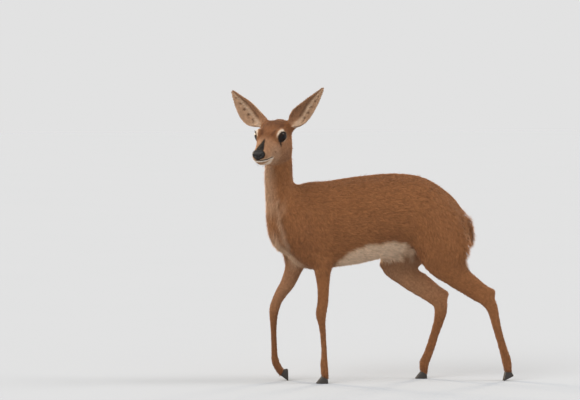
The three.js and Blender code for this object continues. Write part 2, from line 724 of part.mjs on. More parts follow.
// Ear: rows [share of its length, half width, bow towards the crown, how far round it curls in degrees, how far
// the cup's back lies behind the axis, how open the cup is]
const EAR = [
  [0, 13.5, 0, 150, 13.5, 0],
  [0.06, 15.5, -0.5, 138, 14, 0.25],
  [0.14, 20, -2, 112, 14, 0.7],
  [0.25, 24.5, -3.5, 88, 13.5, 1],
  [0.38, 25.5, -4, 74, 12.5, 1],
  [0.5, 24, -4, 66, 11, 1],
  [0.62, 20.5, -3.5, 60, 9, 1],
  [0.74, 16, -3, 56, 7, 1],
  [0.85, 11, -2, 52, 5, 1],
  [0.94, 7.4, -1, 48, 3, 1],
  [1, 3.4, 0, 44, 1.5, 1],
];
function ear({ side, raised, length, bow, width }) {
  const forward = new THREE.Vector3(side, 0, 0);
  const out = new THREE.Vector3(...mirrored(EAR_BASE.outward, side)).normalize();
  const crown = new THREE.Vector3(0, -side * EAR_BASE.outward[2], EAR_BASE.outward[1]).normalize();
  const facing = crown.clone().cross(out).multiplyScalar(-side).normalize();
  const base = new THREE.Vector3(...mirrored(EAR_BASE.centre, side)).addScaledVector(out, GAP / 2);
  const across = 8;
  const rings = EAR.map(([share, wide, shift, curl, back, open]) => {
    const lean = rad(raised) * Math.min(1, share * 4);
    const spine = out.clone().applyAxisAngle(forward, lean);
    const up = crown.clone().applyAxisAngle(forward, lean);
    const phi = rad(curl);
    const half = wide * mix(1, width, Math.min(Math.max((share - 0.2) / 0.3, 0), 1));
    const r = half / Math.sin(Math.min(phi, Math.PI / 2));
    const inner = r - Math.min(EAR_WALL, r * 0.55);
    const at = (w, o) => {
      const p = base.clone().addScaledVector(spine, share * length).addScaledVector(up, shift * bow + w);
      return p.addScaledVector(facing, o).toArray();
    };
    const ring = [];
    for (let i = 0; i <= across; i++) {
      const turn = mix(-phi, phi, i / across);
      ring.push(at(r * Math.sin(turn), r * (1 - Math.cos(turn)) - back));
    }
    for (let i = across; i >= 0; i--) {
      const turn = mix(-phi, phi, i / across) * 0.97;
      const arc = [inner * Math.sin(turn), r - inner * Math.cos(turn) - back];
      const lip = [mix(-1, 1, i / across) * inner * Math.sin(phi), r - inner * Math.cos(phi) - back];
      ring.push(at(mix(lip[0], arc[0], open), mix(lip[1], arc[1], open)));
    }
    return ring;
  });
  return solidOf(loft(rings));
}

const headGroup = new THREE.Group();
headGroup.position.set(...POLL);
headGroup.rotation.z = rad(HEAD_YAW);
figure.add(headGroup);
const wholeHead = head();
headGroup.add(meshOf("head", wholeHead.subtract(noseCut(GAP)), COAT));
headGroup.add(meshOf("nose", wholeHead.intersect(noseCut(0)).simplify(0.12), SKIN));
for (const [name, one] of Object.entries(EARS)) {
  const eye = ballAt(fromFace(mirrored(EYE.centre, one.side)), EYE_RADIUS, 14);
  headGroup.add(meshOf("eye_" + name, eye, EYEBALL), meshOf("ear_" + name, ear(one), COAT));
}

// Puts the middle of the whole figure's outline on the floor at the origin.
figure.updateMatrixWorld(true);
const bounds = new THREE.Box3().setFromObject(figure, true);
const middle = bounds.getCenter(new THREE.Vector3());
figure.position.set(-middle.x, -middle.y, -bounds.min.z);

export default root;
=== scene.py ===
"""The looks of a life-size steenbok ewe around its solids, in metres, +Z up.

The ewe walks towards -X, its left side is -Y and its head is turned to its left. One skin replaces the
solids of flesh. It lies inside them by the depth of the coat, and small tufts of hair cover it. The details'
places are in millimetres, in the body's own frame or in the face's. Both frames are found from the eyes.
"""

import math

import bmesh
import bpy
import numpy as np
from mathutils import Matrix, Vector
from mathutils.bvhtree import BVHTree


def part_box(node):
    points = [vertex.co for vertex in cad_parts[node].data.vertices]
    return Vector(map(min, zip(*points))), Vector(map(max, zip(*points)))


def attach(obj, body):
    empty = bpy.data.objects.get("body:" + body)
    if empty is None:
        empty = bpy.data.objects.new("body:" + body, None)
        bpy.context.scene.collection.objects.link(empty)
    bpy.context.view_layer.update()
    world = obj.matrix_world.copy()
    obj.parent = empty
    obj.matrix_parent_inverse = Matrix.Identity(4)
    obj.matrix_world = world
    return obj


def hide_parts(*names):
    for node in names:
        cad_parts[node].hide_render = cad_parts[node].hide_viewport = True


MM = 0.001
SIDES = (("left", 1), ("right", -1))  # with the sign of Y on that side in the face's frame

# The face's frame: X runs from the poll to the nose, Y to the ewe's left, Z up out of the forehead
HEAD_YAW = math.radians(-121.5)
FACE_PITCH = math.radians(34)
POLL = np.array([-260.0, -4.0, 656.0])  # its origin in the body's frame
FACE_REACH = 200  # how far from the poll the places on the face count
EAR_BASE = np.array([-5.0, 36.0, -10.0])  # from the poll, with the head level
EYE_PLACE = np.array([55.5, 25.4, -6.4])
EYE_OUTWARD = np.array([0.5, 0.84, 0.12])
EYE_RADIUS = 16.0
EYE_TILT = math.radians(12)
# Half length and heights of the open lids, and how far their middle lies ahead of the eye's
OPENING = {"length": 13.6, "upper": 10.2, "lower": 9.2, "ahead": 0.8}
LID = 1.4  # thickness of the lids over the eyeball
GLAND = [(13.5, -2.0), (17.0, -6.0), (18.0, -13.0)]  # the dark groove ahead of an eye, in the eye's frame
MOUTH = {"middle": 113.0, "front": -13.5, "corner": -30.5}  # the line between the lips: its levels
NOSE_PLACE = np.array([143.0, 0.0, -1.0])
NOSE_SIZE = np.array([12.0, 15.5, 10.5])
NOSTRIL = [(146.5, 3.6, -6, 1.0), (144.5, 8, -3, 2.5), (140.5, 11.5, -0.5, 2.2), (136, 12.6, -2, 1.0)]

# The skin
FLESH = ["torso", "neck", "head", "tail", "ear_left", "ear_right"]
FLESH += ["leg_fore_left", "leg_fore_right", "leg_hind_left", "leg_hind_right"]
BODY_VOXEL = 3.7
HEAD_VOXEL = 1.75
CLAW_VOXEL = 0.7
SWELL = 0.4  # how much each solid swells so that neighbours join
NECK_CUT = 533.0  # height at which the finer skin of the head begins
# Rounds of finer faces: reach round an eye, where the muzzle's begin, and reach in shares of the nose's pad
FINER = [(18.5, 112, 0), (17, 400, 1.15)]
COAT_DEPTH = {"torso": 2.4, "neck": 2.2, "head": 1.2, "tail": 2.0, "ear": 0.2, "leg": 1.3, "face": 0.5}
LOW_LEG = {"top": 200, "depth": 1.0}  # where the coat of the legs is thinner
# Folds and swellings of each flank, as lines in the side view: (points (x, z), height, half width)
RELIEF = [
    ([(-222, 468), (-238, 405), (-228, 352)], -1.6, 10),
    ([(-196, 470), (-206, 410), (-204, 350)], 1.8, 13),
    ([(-146, 468), (-136, 405), (-158, 340)], -1.8, 11),
    ([(-176, 336), (-150, 322), (-128, 318)], -2.2, 6),
    ([(62, 352), (84, 324), (96, 300)], 2.0, 6),
    ([(80, 356), (98, 330), (104, 306)], -2.2, 6),
    ([(66, 470), (84, 410), (78, 366)], -2.2, 14),
    ([(104, 486), (118, 478)], 2.2, 18),
    ([(112, 420), (128, 370), (128, 330)], 1.8, 18),
    ([(168, 430), (184, 370), (196, 318)], -1.6, 9),
    ([(-250, 592), (-240, 520), (-256, 440)], -1.4, 8),
    ([(-100, 330), (-40, 344), (20, 352)], -1.2, 12),
]

# The coat: hair length and width, tufts for each square centimetre, and degrees that they stand off the skin
HAIR = {
    "torso": (10.5, 1.1, 34, 11),
    "neck": (9.5, 1.0, 42, 12),
    "head": (5.0, 0.7, 100, 10),
    "tail": (13.0, 1.0, 80, 13),
    "ear": (4.5, 0.6, 85, 9),
    "leg": (6.0, 0.75, 66, 10),
}
CLUMP = 4.5  # mm across the clumps whose tufts lean and shade alike
MOST_IN_PIECE = 190000  # triangles
# A tuft: a root sunk in the skin, a ridged middle and a tip. Its six faces close it.
TUFT_FACES = np.array([[0, 3, 1], [0, 2, 3], [0, 1, 2], [4, 1, 3], [4, 3, 2], [4, 2, 1]])
TUFT_PATCH = np.array([[0, -1], [0.7, 0], [-0.7, 0], [0, 0], [0, 1]]) * 0.0015  # its place in the map
FLOOR_GAP = 0.3  # how far the tufts stay above the floor
# Where the hair of the neck and of the shoulder part, in the side view
CHEST_PARTING = [(-258, 452), (-253, 415), (-246, 380), (-234, 344)]

# Colours, linear
FAWN = (0.36, 0.148, 0.054)
# DEEP_FAWN also gives the painted shade under the jaw, behind the elbow and in the flank's fold
DEEP_FAWN = (0.20, 0.073, 0.026)
PALE = (0.72, 0.51, 0.345)
WHITE = (0.84, 0.77, 0.68)
BLACK = (0.008, 0.006, 0.005)
HORN = (0.012, 0.010, 0.009)

# The view, with angles in degrees
PICTURE = (580, 400)
MM_PER_PIXEL = 2.5
AZIMUTH = -8
ELEVATION = 3
LENS = 200.0
SENSOR = 36.0
AIM = np.array([-227.2, 0.0, 457.3])  # what the middle of the picture shows
# Lamps: azimuth and elevation that the light comes from, strength, degrees across, and colour
LAMPS = {
    "key": (-50, 42, 1.5, 40, (1, 0.95, 0.88)),
    "catch": (80, 44, 1.2, 20, (1, 0.95, 0.88)),
    "rim_left": (-138, 13, 3.6, 16, (1, 0.8, 0.55)),
    "rim_right": (142, 15, 2.8, 16, (1, 0.82, 0.6)),
}
SKY = 0.76
FLOOR = [(0.411, 0.441, 0.486), (0.417, 0.447, 0.492)]

rng = np.random.default_rng(11)
CLUMP_TABLE = rng.random((4093, 2))
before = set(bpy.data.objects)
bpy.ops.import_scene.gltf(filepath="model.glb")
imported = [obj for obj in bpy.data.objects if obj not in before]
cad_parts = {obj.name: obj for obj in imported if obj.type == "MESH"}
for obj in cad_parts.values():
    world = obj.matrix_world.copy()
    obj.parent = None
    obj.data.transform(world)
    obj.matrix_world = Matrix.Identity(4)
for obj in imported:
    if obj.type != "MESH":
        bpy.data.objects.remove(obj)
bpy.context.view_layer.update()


# Frames


def middle_of(node):
    low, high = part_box(node)
    return np.array((low + high) / 2) / MM


def head_turn():
    """Columns are the axes of the level head in the body's frame."""
    c, s = math.cos(HEAD_YAW), math.sin(HEAD_YAW)
    return np.array([[c, -s, 0], [s, c, 0], [0, 0, 1]])


def face_turn():
    """Columns are the face frame's axes in the body's frame."""
    c, s = math.cos(FACE_PITCH), math.sin(FACE_PITCH)
    return head_turn() @ np.array([[c, 0, s], [0, 1, 0], [-s, 0, c]])


HEAD = head_turn()
FACE = face_turn()
FACE_ORIGIN = (middle_of("eye_left") + middle_of("eye_right")) / 2 - FACE @ (EYE_PLACE * (1, 0, 1))
SHIFT = FACE_ORIGIN - POLL  # from the body's own frame to the row's, in mm


def to_body(points):
    """Metres in the row's frame as millimetres in the body's."""
    return points / MM - SHIFT


def from_body(points):
    return (np.asarray(points, float) + SHIFT) * MM


def to_face(points):
    return (points / MM - FACE_ORIGIN) @ FACE


def from_face(points):
    return (np.asarray(points, float) @ FACE.T + FACE_ORIGIN) * MM


def eye_frame(side):
    """Centre and axes of an eye in the face frame: X to the nose, Y up, Z out of the head."""
    out = EYE_OUTWARD * (1, side, 1)
    out = out / np.linalg.norm(out)
    nose = np.array([math.cos(EYE_TILT), 0, -math.sin(EYE_TILT)])
    nose = nose - out * (nose @ out)
    nose = nose / np.linalg.norm(nose)
    up = np.cross(nose, out) * side
    return EYE_PLACE * (1, side, 1), np.stack([nose, up, out], 1)


def from_eyes(face):
    """The same points in the frame of each eye in turn."""
    for _, side in SIDES:
        centre, axes = eye_frame(side)
        yield (face - centre) @ axes


# Numbers


def smooth(low, high, x):
    t = np.clip((x - low) / (high - low), 0, 1)
    return t * t * (3 - 2 * t)


def bump(x, width):
    return np.exp(-((x / width) ** 2))


def unit(v):
    return v / np.maximum(np.linalg.norm(v, axis=1), 1e-9)[:, None]


def on_surface(way, normal):
    """The unit vectors along the surface that lie nearest to these."""
    return unit(way - normal * np.sum(way * normal, 1)[:, None])


def along_line(points, line):
    """Distance from each point to a broken line, and the share of the line's length where it is nearest."""
    line = np.asarray(line, float)
    legs = np.linalg.norm(np.diff(line, axis=0), axis=1)
    starts = np.concatenate([[0], np.cumsum(legs)])
    best = np.full(len(points), np.inf)
    share = np.zeros(len(points))
    for i, leg in enumerate(legs):
        a, b = line[i], line[i + 1]
        t = np.clip(((points - a) @ (b - a)) / leg**2, 0, 1)
        d = np.linalg.norm(points - a - t[:, None] * (b - a), axis=1)
        nearer = d < best
        best[nearer] = d[nearer]
        share[nearer] = (starts[i] + t[nearer] * leg) / starts[-1]
    return best, share


def lid_edge(turn, height):
    """Points of an almond of this height, in an eye's own frame."""
    x = np.cos(turn)
    return np.stack([OPENING["length"] * x + OPENING["ahead"], height * (1 - np.abs(x) ** 2.4) ** 0.85], 1)


def from_opening(points):
    """Signed distance from points (x, y) of an eye's frame to the lids' edge, below 0 in the opening."""
    steps = 24
    height = np.repeat([OPENING["upper"], -OPENING["lower"]], steps)
    outline = lid_edge(np.arange(2 * steps) * math.pi / steps, height)
    distance, _ = along_line(points, np.vstack([outline, outline[:1]]))
    inside = np.zeros(len(points), bool)
    for (ax, ay), (bx, by) in zip(outline, np.roll(outline, -1, 0)):
        crosses = (ay > points[:, 1]) != (by > points[:, 1])
        if ay != by:
            inside ^= crosses & (points[:, 0] < ax + (points[:, 1] - ay) * (bx - ax) / (by - ay))
    return np.where(inside, -distance, distance)


# Meshes


def object_of(name, mesh, body="root"):
    made = bpy.data.objects.new(name, mesh)
    bpy.context.scene.collection.objects.link(made)
    if body:
        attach(made, body)
    return made


def read(items, key, width, kind=np.float32):
    """One value of all the items of a mesh, as rows of this width."""
    flat = np.empty(len(items) * width, kind)
    items.foreach_get(key, flat)
    return flat.reshape(-1, width)


def points_of(mesh):
    return read(mesh.vertices, "co", 3).astype(float)


def edges_of(mesh):
    return read(mesh.edges, "vertices", 2, np.int32)


def put_points(mesh, points):
    mesh.vertices.foreach_set("co", points.astype(np.float32).ravel())
    mesh.update()


def put_attribute(mesh, name, values):
    """Gives each vertex a colour of four numbers or a vector of three."""
    kind, key = ("FLOAT_COLOR", "color") if values.shape[1] == 4 else ("FLOAT_VECTOR", "vector")
    layer = mesh.attributes.new(name, kind, "POINT")
    layer.data.foreach_set(key, values.astype(np.float32).ravel())


def around(values, edges):
    """The mean of each vertex's neighbours."""
    ends = np.concatenate([edges[:, 0], edges[:, 1]])
    others = np.concatenate([edges[:, 1], edges[:, 0]])
    count = np.bincount(ends, minlength=len(values)).astype(float)
    columns = [np.bincount(ends, values[others, k], len(values)) for k in range(values.shape[1])]
    return np.stack(columns, 1) / np.maximum(count, 1)[:, None]


def relaxed(points, edges, amount, turns):
    """Smooths the mesh without shrinking it. `amount` is from 0 to 1 for each vertex."""
    for _ in range(turns):
        points = points + 0.5 * amount[:, None] * (around(points, edges) - points)
        points = points - 0.52 * amount[:, None] * (around(points, edges) - points)
    return points


def spread(values, edges, turns):
    for _ in range(turns):
        values = 0.4 * values + 0.6 * around(values, edges)
    return values


def solids_of(names, swell):
    """One bmesh of copies of these solids, each swollen by `swell` mm."""
    made = bmesh.new()
    for name in names:
        made.from_mesh(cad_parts[name].data)
    bmesh.ops.remove_doubles(made, verts=made.verts, dist=1e-5)
    made.normal_update()
    for v in made.verts:
        v.co += v.normal * (swell * MM)
    return made


def remeshed(source, voxel):
    """A closed skin of even quads round the union of what a bmesh holds."""
    mesh = bpy.data.meshes.new("remesh")
    source.to_mesh(mesh)
    source.free()
    holder = object_of("remesh", mesh, body=None)
    change = holder.modifiers.new("voxels", "REMESH")
    change.mode = "VOXEL"
    change.voxel_size = voxel * MM
    bpy.context.view_layer.update()
    made = bpy.data.meshes.new_from_object(holder.evaluated_get(bpy.context.evaluated_depsgraph_get()))
    bpy.data.objects.remove(holder)
    bpy.data.meshes.remove(mesh)
    return made


# The skin's shape


def whole_skin():
    """The body's skin and the head's finer one, joined round the neck."""
    fillers = ["nose", "eye_left", "eye_right"]
    coarse = remeshed(solids_of([n for n in FLESH if not n.startswith("ear")] + fillers, SWELL), BODY_VOXEL)
    fine = remeshed(solids_of(["neck", "head", "ear_left", "ear_right"] + fillers, SWELL), HEAD_VOXEL)
    level = from_body([0, 0, NECK_CUT])[2]
    joined = bmesh.new()
    for mesh, below in ((coarse, True), (fine, False)):
        part = bmesh.new()
        part.from_mesh(mesh)
        bmesh.ops.bisect_plane(
            part,
            geom=part.verts[:] + part.edges[:] + part.faces[:],
            plane_co=(0, 0, level + (-1 if below else 1) * MM),
            plane_no=(0, 0, 1),
            clear_outer=below,
            clear_inner=not below,
        )
        part.to_mesh(mesh)
        part.free()
        joined.from_mesh(mesh)
        bpy.data.meshes.remove(mesh)
    rims = [e for e in joined.edges if e.is_boundary]
    bmesh.ops.bridge_loops(joined, edges=rims)
    refine(joined)
    bmesh.ops.triangulate(joined, faces=[f for f in joined.faces if len(f.verts) > 4])
    bmesh.ops.recalc_face_normals(joined, faces=joined.faces)
    made = bpy.data.meshes.new("skin")
    joined.to_mesh(made)
    joined.free()
    return made


def refine(skin):
    """Smaller faces round the eyes and on the muzzle, where the details are finest."""
    for reach, muzzle, pad in FINER:
        skin.verts.ensure_lookup_table()
        face = to_face(np.array([v.co for v in skin.verts]))
        near = (face[:, 0] > muzzle) & (np.linalg.norm(face, axis=1) < FACE_REACH)
        near |= from_pad(face) < pad
        for local in from_eyes(face):
            near |= (np.linalg.norm(local, axis=1) < reach) & (local[:, 2] > 0)
        edges = [e for e in skin.edges if near[e.verts[0].index] and near[e.verts[1].index]]
        bmesh.ops.subdivide_edges(skin, edges=edges, cuts=1, use_grid_fill=True)


class Skin:
    """The skin's mesh as arrays, with what its details and its hair need at each vertex."""

    def __init__(self, mesh):
        self.mesh = mesh
        self.points = points_of(mesh)
        self.edges = edges_of(mesh)
        self.region = nearest_nodes(self.points)

    def is_in(self, start):
        return np.array([name.startswith(start) for name in FLESH])[self.region]

    def update(self):
        put_points(self.mesh, self.points)
        self.normals = read(self.mesh.vertex_normals, "vector", 3).astype(float)
        self.body = to_body(self.points)
        self.face = to_face(self.points)

    def push(self, height):
        """Moves each vertex out along its normal by this many mm."""
        self.points = self.points + self.normals * (height * MM)[:, None]
        self.update()


def nearest_nodes(points):
    """The index in FLESH of the solid nearest to each point."""
    corners, faces, owner = [], [], []
    for index, name in enumerate(FLESH):
        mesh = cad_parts[name].data
        start = len(corners)
        corners += [v.co.copy() for v in mesh.vertices]
        faces += [[start + i for i in p.vertices] for p in mesh.polygons]
        owner += [index] * len(mesh.polygons)
    tree = BVHTree.FromPolygons(corners, faces)
    return np.array([owner[tree.find_nearest(p)[2]] for p in points])


def shape_skin(skin):
    on_head = skin.is_in("head").astype(float)
    on_ear = skin.is_in("ear").astype(float)
    on_leg = skin.is_in("leg").astype(float)
    amount = np.clip(1 - 0.75 * on_head - 0.8 * on_ear - 0.45 * on_leg, 0, 1)[:, None]
    amount = spread(amount, skin.edges, 10)[:, 0]
    skin.points = relaxed(skin.points, skin.edges, amount, 40)
    skin.update()
    skin.push(muscle_relief(skin))
    skin.push(-coat_depth(skin) - SWELL)
    skin.push(face_relief(skin))
    open_lids(skin)
    skin.update()


def muscle_relief(skin):
    side_on = smooth(0.25, 0.8, np.abs(skin.normals[:, 1]))
    seen = skin.body[:, (0, 2)]
    height = np.zeros(len(seen))
    for line, rise, width in RELIEF:
        distance, share = along_line(seen, line)
        ends = smooth(0, 0.2, share) * smooth(0, 0.2, 1 - share)
        height += rise * bump(distance, width) * (0.35 + 0.65 * ends)
    return height * side_on * ~skin.is_in("ear")


def coat_depth(skin):
    """How deep the hair lies over the skin, in mm."""
    depth = np.zeros(len(skin.points))
    for part in ("torso", "neck", "head", "tail", "ear", "leg"):
        depth[skin.is_in(part)] = COAT_DEPTH[part]
    depth[skin.is_in("leg") & (skin.body[:, 2] < LOW_LEG["top"])] = LOW_LEG["depth"]
    depth = spread(depth[:, None], skin.edges, 30)[:, 0]
    bare = smooth(95, 125, skin.face[:, 0]) * skin.is_in("head")
    for local in from_eyes(skin.face):
        bare = np.maximum(bare, 1 - smooth(14, 26, np.linalg.norm(local, axis=1)))
    return depth * (1 - bare) + COAT_DEPTH["face"] * bare


def from_mouth(face):
    """Distance from the mouth's line, the share of it from front to corner, and the height above it."""
    turn = np.arctan2(np.abs(face[:, 1]), face[:, 0] - MOUTH["middle"])
    share = np.clip(turn / (math.pi / 2), 0, 1)
    level = MOUTH["front"] + (MOUTH["corner"] - MOUTH["front"]) * share**1.4
    past = np.maximum(turn / (math.pi / 2) - 1, 0) * 24
    above = face[:, 2] - level
    return np.hypot(above, past), share, above


def from_pad(face):
    """1 at the outline of the nose's bare pad, less within it."""
    return np.linalg.norm((face - NOSE_PLACE) / NOSE_SIZE, axis=1)


def from_nostril(face):
    """Distance from the middle line of the nearer nostril, and its half width there."""
    both = face * [1, 0, 1] + np.abs(face) * [0, 1, 0]
    line = np.array(NOSTRIL)
    distance, share = along_line(both, line[:, :3])
    radius = np.interp(share, np.linspace(0, 1, len(line)), line[:, 3])
    return distance, radius


def face_relief(skin):
    """Lips, nostrils, the folds round the eyes and the edge of the cheek, as heights in mm."""
    face = skin.face
    on_face = (skin.is_in("head") & (face[:, 2] < 40)).astype(float)
    low = on_face * (face[:, 0] > 80)
    distance, _, _ = from_mouth(face)
    height = low * (0.7 * bump(distance - 2.6, 1.6) - 1.7 * bump(distance, 0.95))
    gap, radius = from_nostril(face)
    height -= on_face * 3.0 * bump(gap, radius)
    height += on_face * 0.7 * bump(gap - 1.7 * radius, 1.2) * (face[:, 2] > -8)
    groove = bump(face[:, 1], 0.8) * smooth(2, -3, face[:, 2]) * smooth(140, 146, face[:, 0])
    height -= on_face * 0.9 * groove * (from_pad(face) < 1.3)
    for local in from_eyes(face):
        near = on_face * (local[:, 2] > 0) * (np.linalg.norm(local, axis=1) < 30)
        edge = from_opening(local[:, :2])
        upper = smooth(-2, 4, local[:, 1])
        height += near * upper * (-0.8 * bump(edge - 4.2, 0.9) + 0.5 * bump(edge - 6.8, 1.8))
        height += near * (1 - upper) * (-0.5 * bump(edge - 3.6, 0.9) + 0.3 * bump(edge - 5.4, 1.2))
        gland, _ = along_line(local[:, :2], GLAND)
        height -= near * 0.9 * bump(gland, 1.6)
    return height


def open_lids(skin):
    """Sinks the skin behind the eyeball within the open lids, and sets the lids' edges over it."""
    sunk = EYE_RADIUS - 1.6
    over = EYE_RADIUS + LID
    for _, side in SIDES:
        centre, axes = eye_frame(side)
        local = (skin.face - centre) @ axes
        near = (np.linalg.norm(local, axis=1) < 24) & (local[:, 2] > 0)
        edge = from_opening(local[near, :2])
        reach = np.linalg.norm(local[near], axis=1)
        hug = 1 - smooth(0.5, 5, edge)
        lid = reach + (over - reach) * hug + 0.35 * bump(edge - 0.8, 0.8)
        wanted = sunk + (lid - sunk) * smooth(-0.9, 0.2, edge)
        local[near] *= (wanted / reach)[:, None]
        skin.points[near] = from_face(local[near] @ axes.T + centre)


# Looks of the skin and the coat


def belly_edge(x):
    """Height of the white belly's upper edge along the flank."""
    return np.interp(x, [-130, -105, -78, -22, 33, 56, 72], [292, 314, 338, 351, 355, 352, 330])


def markings(skin):
    """Shares of white and of black, and how deep the fawn is, at each vertex, with painted shade and rim
    light among them.
    """
    x, y, z = skin.body.T
    on_head, on_leg, on_neck, on_tail = [skin.is_in(part) for part in ("head", "leg", "neck", "tail")]
    on_trunk = ~(on_head | on_neck | on_tail)
    wander = 2.5 * np.sin(x / 9) + 1.5 * np.sin(x / 3.7 + 1)
    ahead, outward, up = -skin.normals[:, 0], np.abs(skin.normals[:, 1]), skin.normals[:, 2]

    # White on the belly and in the flank's fold, on the legs' inner sides, brisket, groin, tail and throat
    belly = smooth(-5, 6, belly_edge(x) + wander - z) * smooth(-135, -108, x) * (1 - smooth(52, 70, x))
    fold = bump(x - np.interp(z, [300, 322, 345], [92, 74, 62]), 4.5)
    fold *= smooth(296, 306, z) * (1 - smooth(342, 352, z))
    white = 0.7 * np.maximum(belly * ~on_leg, 0.7 * fold) * on_trunk
    inner = smooth(0.1, 0.8, -np.sign(y) * skin.normals[:, 1])
    inner *= smooth(140, 240, z) * (1 - smooth(315, 350, z))
    white = np.maximum(white, 0.12 * inner * ~on_head)
    brisket = smooth(38, 16, np.abs(y)) * smooth(-285, -262, x) * (1 - smooth(-225, -170, x))
    brisket *= smooth(-0.3, 0.5, ahead - up) * (1 - smooth(352, 400, z))
    white = np.maximum(white, 0.42 * brisket * ~on_leg)
    groin = smooth(26, 10, np.abs(y)) * smooth(40, 60, x) * (1 - smooth(340, 380, z)) * smooth(230, 250, z)
    white = np.maximum(white, 0.6 * groin * smooth(0.0, 0.6, -up))
    white = np.maximum(white, 0.66 * on_tail * smooth(0.4, 0.8, ahead))
    throat = smooth(0.2, 0.9, ahead) * smooth(540, 575, z) * on_neck
    grey_front = smooth(0.1, 0.8, ahead) * smooth(400, 450, z) * on_neck
    white = np.maximum(white, np.maximum(0.34 * throat, 0.27 * grey_front))

    # Deeper fawn on the back, over the belly and down the legs; painted shade behind the elbow and in the
    # flank's fold, and paler fawn where painted rim light falls on the rump
    deep = 0.22 + 0.2 * smooth(470, 515, z) * on_trunk
    deep += 0.35 * smooth(-40, 20, x) * (1 - smooth(20, 90, x)) * smooth(400, 365, z) * on_trunk
    # painted shade: darker fawn behind the elbow, most where faces turn down and aside
    deep += 0.3 * smooth(-150, -190, x) * smooth(420, 350, z) * on_trunk * smooth(-0.2, 0.6, 0.4 - up)
    # painted shadow: darker fawn in the flank's fold between the belly and the thigh
    deep += 0.5 * smooth(56, 72, x) * smooth(112, 90, x) * smooth(352, 336, z) * smooth(270, 300, z)
    # painted rim light: paler fawn where the rump and thighs face back
    deep -= 0.25 * smooth(190, 215, x) * smooth(0.1, 0.6, -ahead) * smooth(290, 310, z)
    deep += 0.25 * smooth(185, 120, z) * on_leg + 0.35 * smooth(40, 24, z) * on_leg
    deep -= 0.12 * on_neck + 0.2 * on_neck * smooth(0.1, 0.8, ahead) + 0.3 * inner

    # The chest's parting as a broken dark line of painted shade, with paler hair before it
    side_on = smooth(0.12, 0.4, outward) * (on_neck | on_trunk) * ~on_leg
    wavy = skin.body[:, (0, 2)] + np.stack([1.6 * np.sin(z / 6.3) + 1.3 * np.sin(z / 2.7 + 1), 0 * z], 1)
    gap, _ = along_line(wavy, CHEST_PARTING)
    before = wavy[:, 0] < np.interp(wavy[:, 1], *np.array(CHEST_PARTING)[::-1, ::-1].T)
    broken = 0.35 + 0.65 * smooth(-0.3, 0.7, np.sin(z / 4.3 + 2 * np.sin(z / 9)))
    # painted shade in the gap where the hair parts
    black = 0.5 * broken * side_on * smooth(3.6, 1.0, gap)
    white = np.maximum(white, 0.24 * side_on * bump(gap - 7, 5) * before)

    marks = np.stack([white, black, np.clip(deep, 0, 1)], 1)
    marks[on_head] = face_markings_and_shade(skin.face[on_head], skin.normals[on_head])
    for name, side in SIDES:
        mine = skin.is_in("ear_" + name)
        marks[mine] = ear_markings(skin.body[mine], skin.normals[mine], side)
    return marks


def face_markings_and_shade(face, normals):
    x, y, z = face.T
    side_y = np.abs(y)
    both = np.stack([x, side_y], 1)
    up = normals @ FACE[:, 2]
    edge, share, above_mouth = from_mouth(face)
    front = smooth(106, 114, x)
    lips = front * np.where(above_mouth > 0, smooth(3.4, 2.2, edge), smooth(7.0, 5.0, edge))
    chin = smooth(-24, -34, z) * smooth(108, 118, x)
    pale = 0.14 * smooth(74, 96, x) + 0.08 * smooth(28, 60, x) * smooth(0, -24, z)
    white = np.maximum.reduce([lips, 0.85 * chin, pale])
    black = smooth(2.4, 1.3, edge) * front * smooth(1.02, 0.97, share)
    deep = 0.3 + 0.35 * smooth(50, 26, x) * smooth(-22, -6, z)
    deep += 0.38 * smooth(96, 70, x) * smooth(26, 18, side_y) * smooth(0.2, 0.8, up)
    # painted shadow: darker fawn under the jaw
    deep += 0.45 * smooth(-40, -60, z) * smooth(84, 50, x)
    streaks = smooth(0.0, 0.9, np.sin(x / 2.1 + 1.6 * np.sin(y / 7.0) + 0.8 * np.sin(y / 2.9)))
    crown = smooth(-14, -4, x) * smooth(36, 24, x) * smooth(30, 18, side_y) * smooth(-12, 0, z)
    black = np.maximum(black, 0.4 * crown * streaks)
    brow, _ = along_line(both, [(72, 12), (60, 18), (44, 23), (26, 25)])
    brow = bump(brow, 3.2) * smooth(-2, 3, z)
    deep += 0.5 * brow
    black = np.maximum(black, 0.2 * brow)
    for local in from_eyes(face):
        near = (np.linalg.norm(local, axis=1) < 34) & (local[:, 2] > -2)
        rim = from_opening(local[:, :2])
        lid = 1.8 + 0.9 * smooth(4, 13, local[:, 0]) + 0.5 * smooth(0, 6, local[:, 1])
        above = smooth(1, 6, local[:, 1]) * smooth(6.8, 4.8, rim) * smooth(17, 9, local[:, 0])
        below = smooth(-1, -5, local[:, 1]) * smooth(6.0, 4.0, rim) * smooth(9, 2, local[:, 0])
        white = np.maximum(white, near * np.maximum(0.9 * above, 0.8 * below))
        black = np.maximum(black, near * smooth(lid + 0.5, lid - 0.5, rim))
        gland, _ = along_line(local[:, :2], GLAND)
        black = np.maximum(black, near * smooth(2.9, 1.7, gland))
        deep += 0.4 * near * bump(gland - 4, 2.5) * smooth(14, 20, local[:, 0])
    blaze_width = np.interp(x, [88, 104, 128], [0.5, 4.5, 10.5])
    blaze = smooth(1.3, -0.8, side_y - blaze_width) * smooth(86, 94, x) * smooth(0.1, 0.45, up)
    spot = smooth(2.3, 1.1, np.hypot(x - 101, z + 23))
    black = np.maximum.reduce([black, blaze, smooth(1.2, 1.1, from_pad(face)), 0.75 * spot])
    return np.stack([white * (1 - black), black, np.clip(deep, 0, 1)], 1)


def ear_points(side):
    """The points of an ear's solid, in the body's frame."""
    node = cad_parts["ear_left" if side > 0 else "ear_right"]
    return to_body(np.array([v.co for v in node.data.vertices]))


